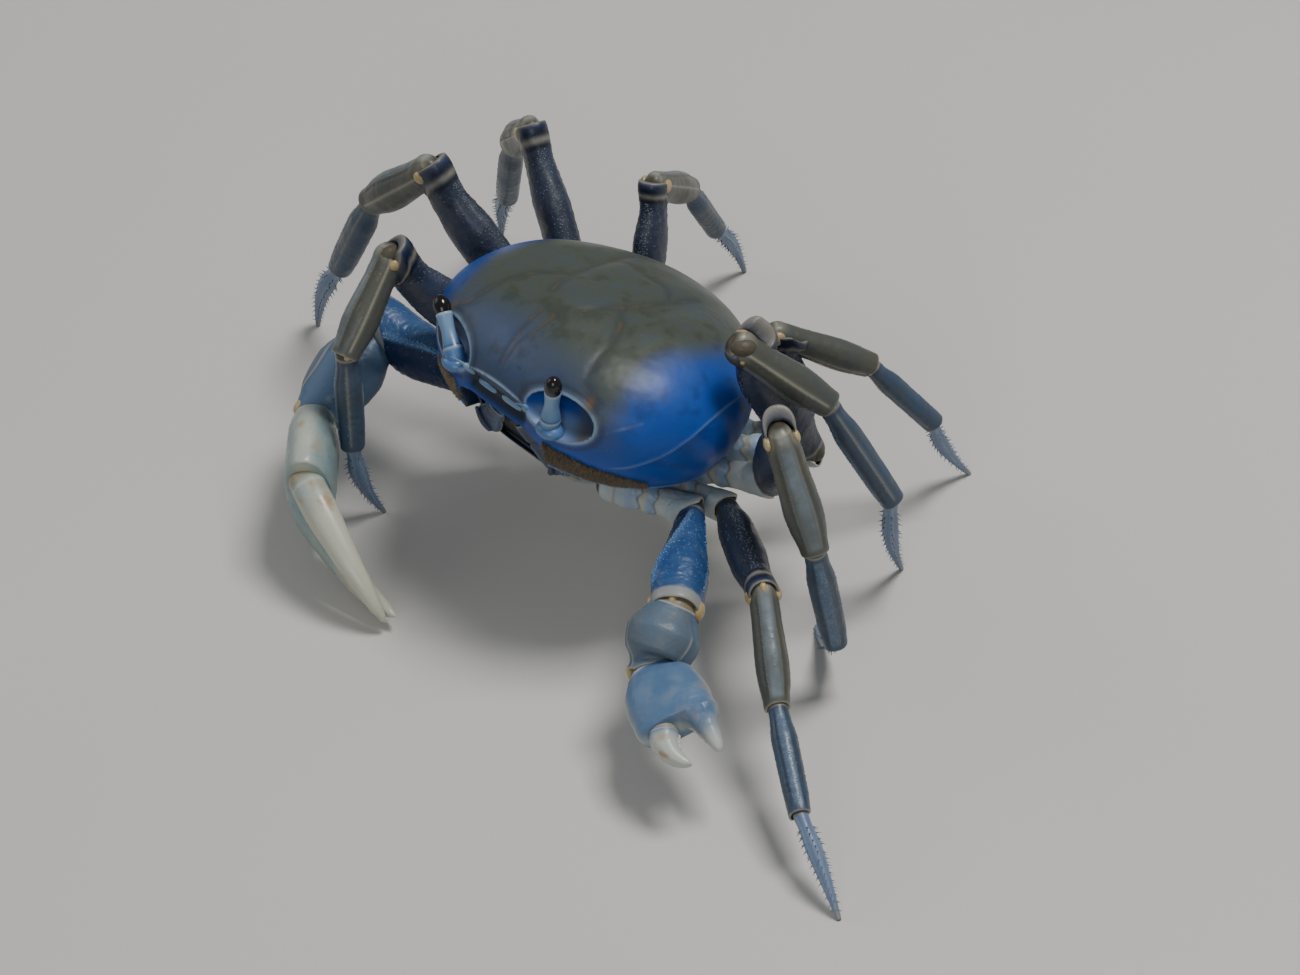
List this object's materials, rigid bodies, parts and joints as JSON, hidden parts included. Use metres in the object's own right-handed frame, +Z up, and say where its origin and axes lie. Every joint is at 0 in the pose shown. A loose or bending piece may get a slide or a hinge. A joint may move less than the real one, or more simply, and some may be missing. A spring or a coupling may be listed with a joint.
{
  "type": "land crab model",
  "caption": "Life-size still model of a blue land crab in a high standing pose: domed blue shell, stalked eyes, one large and one small claw, and jointed walking legs.",
  "frame": {"origin": "middle of the bounding box, on the floor", "axes": "+X towards the crab's left, -Y towards its front, +Z up"},
  "size_m": [0.3, 0.1798, 0.0999],
  "materials": {
    "shell": "semi-gloss, olive brown over the middle, blue at the sides",
    "underside": "satin, cream and pale grey",
    "eyestalk": "semi-gloss pale blue",
    "eye": "glossy black",
    "mouth": "semi-gloss navy with pale edges",
    "hip": "satin pale grey-blue and cream",
    "leg_merus": "satin dark indigo, wrinkled",
    "leg_carpus": "satin grey-olive with a paler ridge",
    "leg_propodus": "satin slate blue with rows of grains",
    "leg_dactyl": "satin pale lilac-blue",
    "claw_arm": "satin bright blue, wrinkled",
    "claw_wrist": "satin slate blue",
    "claw_small": "satin steel blue with cream finger tips",
    "claw_large": "satin pale grey-green with cream fingers"
  },
  "bodies": {
    "root": {"carapace": "shell", "underside": "underside", "abdomen": "underside", "eyestalk_left": "eyestalk", "eyestalk_right": "eyestalk", "eye_left": "eye", "eye_right": "eye", "maxilliped_left": "mouth", "maxilliped_right": "mouth", "leg_2_left_hip": "hip", "leg_2_left_merus": "leg_merus", "leg_2_left_carpus": "leg_carpus", "leg_2_left_propodus": "leg_propodus", "leg_2_left_dactyl": "leg_dactyl", "leg_2_right_hip": "hip", "leg_2_right_merus": "leg_merus", "leg_2_right_carpus": "leg_carpus", "leg_2_right_propodus": "leg_propodus", "leg_2_right_dactyl": "leg_dactyl", "leg_3_left_hip": "hip", "leg_3_left_merus": "leg_merus", "leg_3_left_carpus": "leg_carpus", "leg_3_left_propodus": "leg_propodus", "leg_3_left_dactyl": "leg_dactyl", "leg_3_right_hip": "hip", "leg_3_right_merus": "leg_merus", "leg_3_right_carpus": "leg_carpus", "leg_3_right_propodus": "leg_propodus", "leg_3_right_dactyl": "leg_dactyl", "leg_4_left_hip": "hip", "leg_4_left_merus": "leg_merus", "leg_4_left_carpus": "leg_carpus", "leg_4_left_propodus": "leg_propodus", "leg_4_left_dactyl": "leg_dactyl", "leg_4_right_hip": "hip", "leg_4_right_merus": "leg_merus", "leg_4_right_carpus": "leg_carpus", "leg_4_right_propodus": "leg_propodus", "leg_4_right_dactyl": "leg_dactyl", "leg_5_left_hip": "hip", "leg_5_left_merus": "leg_merus", "leg_5_left_carpus": "leg_carpus", "leg_5_left_propodus": "leg_propodus", "leg_5_left_dactyl": "leg_dactyl", "leg_5_right_hip": "hip", "leg_5_right_merus": "leg_merus", "leg_5_right_carpus": "leg_carpus", "leg_5_right_propodus": "leg_propodus", "leg_5_right_dactyl": "leg_dactyl", "claw_left_hip": "hip", "claw_left_merus": "claw_arm", "claw_left_carpus": "claw_wrist", "claw_left_palm": "claw_small", "claw_left_finger": "claw_small", "claw_right_hip": "hip", "claw_right_merus": "claw_arm", "claw_right_carpus": "claw_wrist", "claw_right_palm": "claw_large", "claw_right_finger": "claw_large"}
  },
  "joints": []
}
